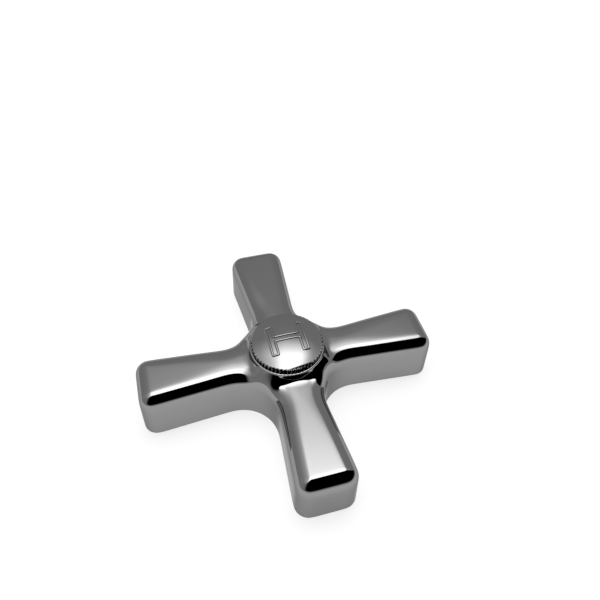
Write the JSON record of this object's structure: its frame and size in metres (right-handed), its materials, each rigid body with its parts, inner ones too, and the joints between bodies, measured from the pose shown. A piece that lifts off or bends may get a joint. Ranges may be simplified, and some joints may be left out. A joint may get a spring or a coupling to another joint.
{
  "type": "cross tap handle",
  "caption": "Polished metal cross tap handle with flared, hollow arms, a splined spindle socket below and a domed, knurled index button for hot that hides its fixing screw.",
  "frame": {"origin": "on the spindle axis, in the plane of the handle's underside", "axes": "+Z along the spindle axis, away from the tap; the arms lie along X and Y, and the letter on the button stands upright along +Y"},
  "size_m": [0.07, 0.07, 0.0169],
  "materials": {
    "chrome_body": "polished, dark",
    "chrome_button": "polished, dark",
    "screw_steel": "plain"
  },
  "bodies": {
    "root": {"handle_body": "chrome_body", "index_button": "chrome_button", "handle_screw": "screw_steel"}
  },
  "joints": []
}
